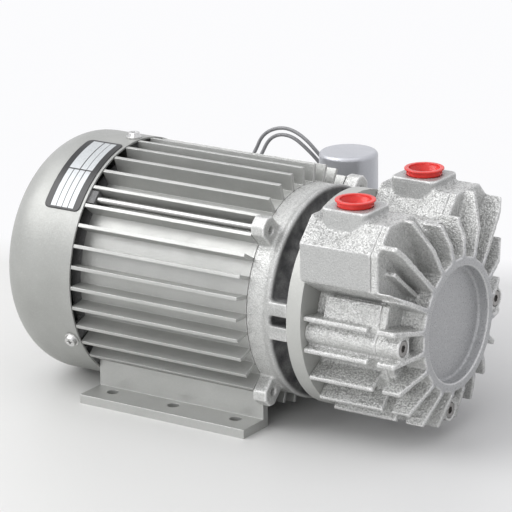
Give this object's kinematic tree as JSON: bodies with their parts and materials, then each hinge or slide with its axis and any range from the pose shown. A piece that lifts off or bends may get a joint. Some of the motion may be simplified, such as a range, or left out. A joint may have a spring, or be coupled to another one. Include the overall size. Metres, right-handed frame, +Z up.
{
  "type": "oil-free vacuum pump",
  "caption": "Oil-free rotary vane vacuum pump with a finned head, overhung on a foot mounted, fan cooled motor.",
  "frame": {"origin": "centre of the foot bolt rectangle, on the plane that the feet stand on", "axes": "+X along the shaft from the motor to the pump head, -Y the side shown in front, +Z up"},
  "size_m": [0.2695, 0.1849, 0.1453],
  "materials": {
    "silver_paint": "smooth satin silver paint",
    "silver_aluminium": "smooth satin silver paint over aluminium",
    "cast_silver": "silver paint over rough sand-cast iron",
    "machined_plate": "fine turned face",
    "zinc_steel": "zinc plated",
    "shaft_steel": "ground steel",
    "bearing_steel": "polished bearing steel",
    "cage_steel": "pressed steel",
    "core_iron": "stacked sheet, varnished",
    "winding_copper": "enamelled copper wire",
    "carbon": "ground carbon",
    "red_plastic": "moulded red polyethylene",
    "black_plastic": "moulded black plastic",
    "black_rubber": "moulded rubber",
    "capacitor_can": "grey moulded can",
    "lead_sleeve": "grey sleeving"
  },
  "bodies": {
    "housing": {"motor_frame": "silver_aluminium", "front_end_shield": "silver_aluminium", "rear_end_shield": "silver_aluminium", "tie_rods": "zinc_steel", "fan_cover": "silver_paint", "fan_cover_screws": "zinc_steel", "front_bearing_outer_ring": "bearing_steel", "rear_bearing_outer_ring": "bearing_steel", "wave_washer": "shaft_steel", "shaft_seal": "black_rubber", "stator_core": "core_iron", "stator_windings": "winding_copper", "rear_side_plate": "machined_plate", "side_plate_screws": "zinc_steel", "pump_cylinder": "cast_silver", "front_cover": "cast_silver", "cover_screws": "zinc_steel", "terminal_box_gasket": "black_rubber", "terminal_box": "black_plastic", "terminal_box_lid": "black_plastic", "lid_screws": "zinc_steel", "terminal_board": "black_plastic", "cable_gland": "black_plastic", "lead_grommets": "black_rubber", "capacitor": "capacitor_can", "capacitor_base_cap": "black_plastic", "capacitor_clamp": "zinc_steel", "clamp_screws": "zinc_steel", "capacitor_lead_outer": "lead_sleeve", "capacitor_lead_inner": "lead_sleeve"},
    "rotor": {"motor_shaft": "shaft_steel", "rotor_core": "core_iron", "cooling_fan": "black_plastic", "fan_circlip": "shaft_steel", "front_bearing_inner_ring": "bearing_steel", "rear_bearing_inner_ring": "bearing_steel", "pump_rotor": "machined_plate", "rotor_key": "shaft_steel", "rotor_end_screw": "zinc_steel"},
    "vane_1": {"vane_1": "carbon"},
    "vane_2": {"vane_2": "carbon"},
    "vane_3": {"vane_3": "carbon"},
    "vane_4": {"vane_4": "carbon"},
    "front_ball_set": {"front_bearing_balls": "bearing_steel", "front_bearing_cage": "cage_steel"},
    "rear_ball_set": {"rear_bearing_balls": "bearing_steel", "rear_bearing_cage": "cage_steel"},
    "near_port_plug": {"near_port_plug": "red_plastic"},
    "far_port_plug": {"far_port_plug": "red_plastic"}
  },
  "joints": [
    {"name": "shaft_spin", "type": "hinge", "parent": "housing", "child": "rotor", "pos_m": [0, 0, 0.071], "axis": [1, 0, 0], "continuous": true},
    {"name": "vane_1_slide", "type": "slide", "parent": "rotor", "child": "vane_1", "axis": [0, 0.7071, 0.7071], "range_m": [0, 0.0013]},
    {"name": "vane_2_slide", "type": "slide", "parent": "rotor", "child": "vane_2", "axis": [0, -0.7071, 0.7071], "range_m": [0, 0.0013]},
    {"name": "vane_3_slide", "type": "slide", "parent": "rotor", "child": "vane_3", "axis": [0, -0.7071, -0.7071], "range_m": [0, 0.0013]},
    {"name": "vane_4_slide", "type": "slide", "parent": "rotor", "child": "vane_4", "axis": [0, 0.7071, -0.7071], "range_m": [0, 0.0013]},
    {"name": "front_ball_set_spin", "type": "hinge", "parent": "housing", "child": "front_ball_set", "pos_m": [0, 0, 0.071], "axis": [1, 0, 0], "continuous": true},
    {"name": "rear_ball_set_spin", "type": "hinge", "parent": "housing", "child": "rear_ball_set", "pos_m": [0, 0, 0.071], "axis": [1, 0, 0], "continuous": true},
    {"name": "near_plug_pull", "type": "slide", "parent": "housing", "child": "near_port_plug", "axis": [0, 0, 1], "range_m": [0, 0.06]},
    {"name": "far_plug_pull", "type": "slide", "parent": "housing", "child": "far_port_plug", "axis": [0, 0, 1], "range_m": [0, 0.06]}
  ],
  "couplings": [
    {"joint": "front_ball_set_spin", "follows": "shaft_spin", "ratio": 0.3815},
    {"joint": "rear_ball_set_spin", "follows": "shaft_spin", "ratio": 0.3808}
  ]
}
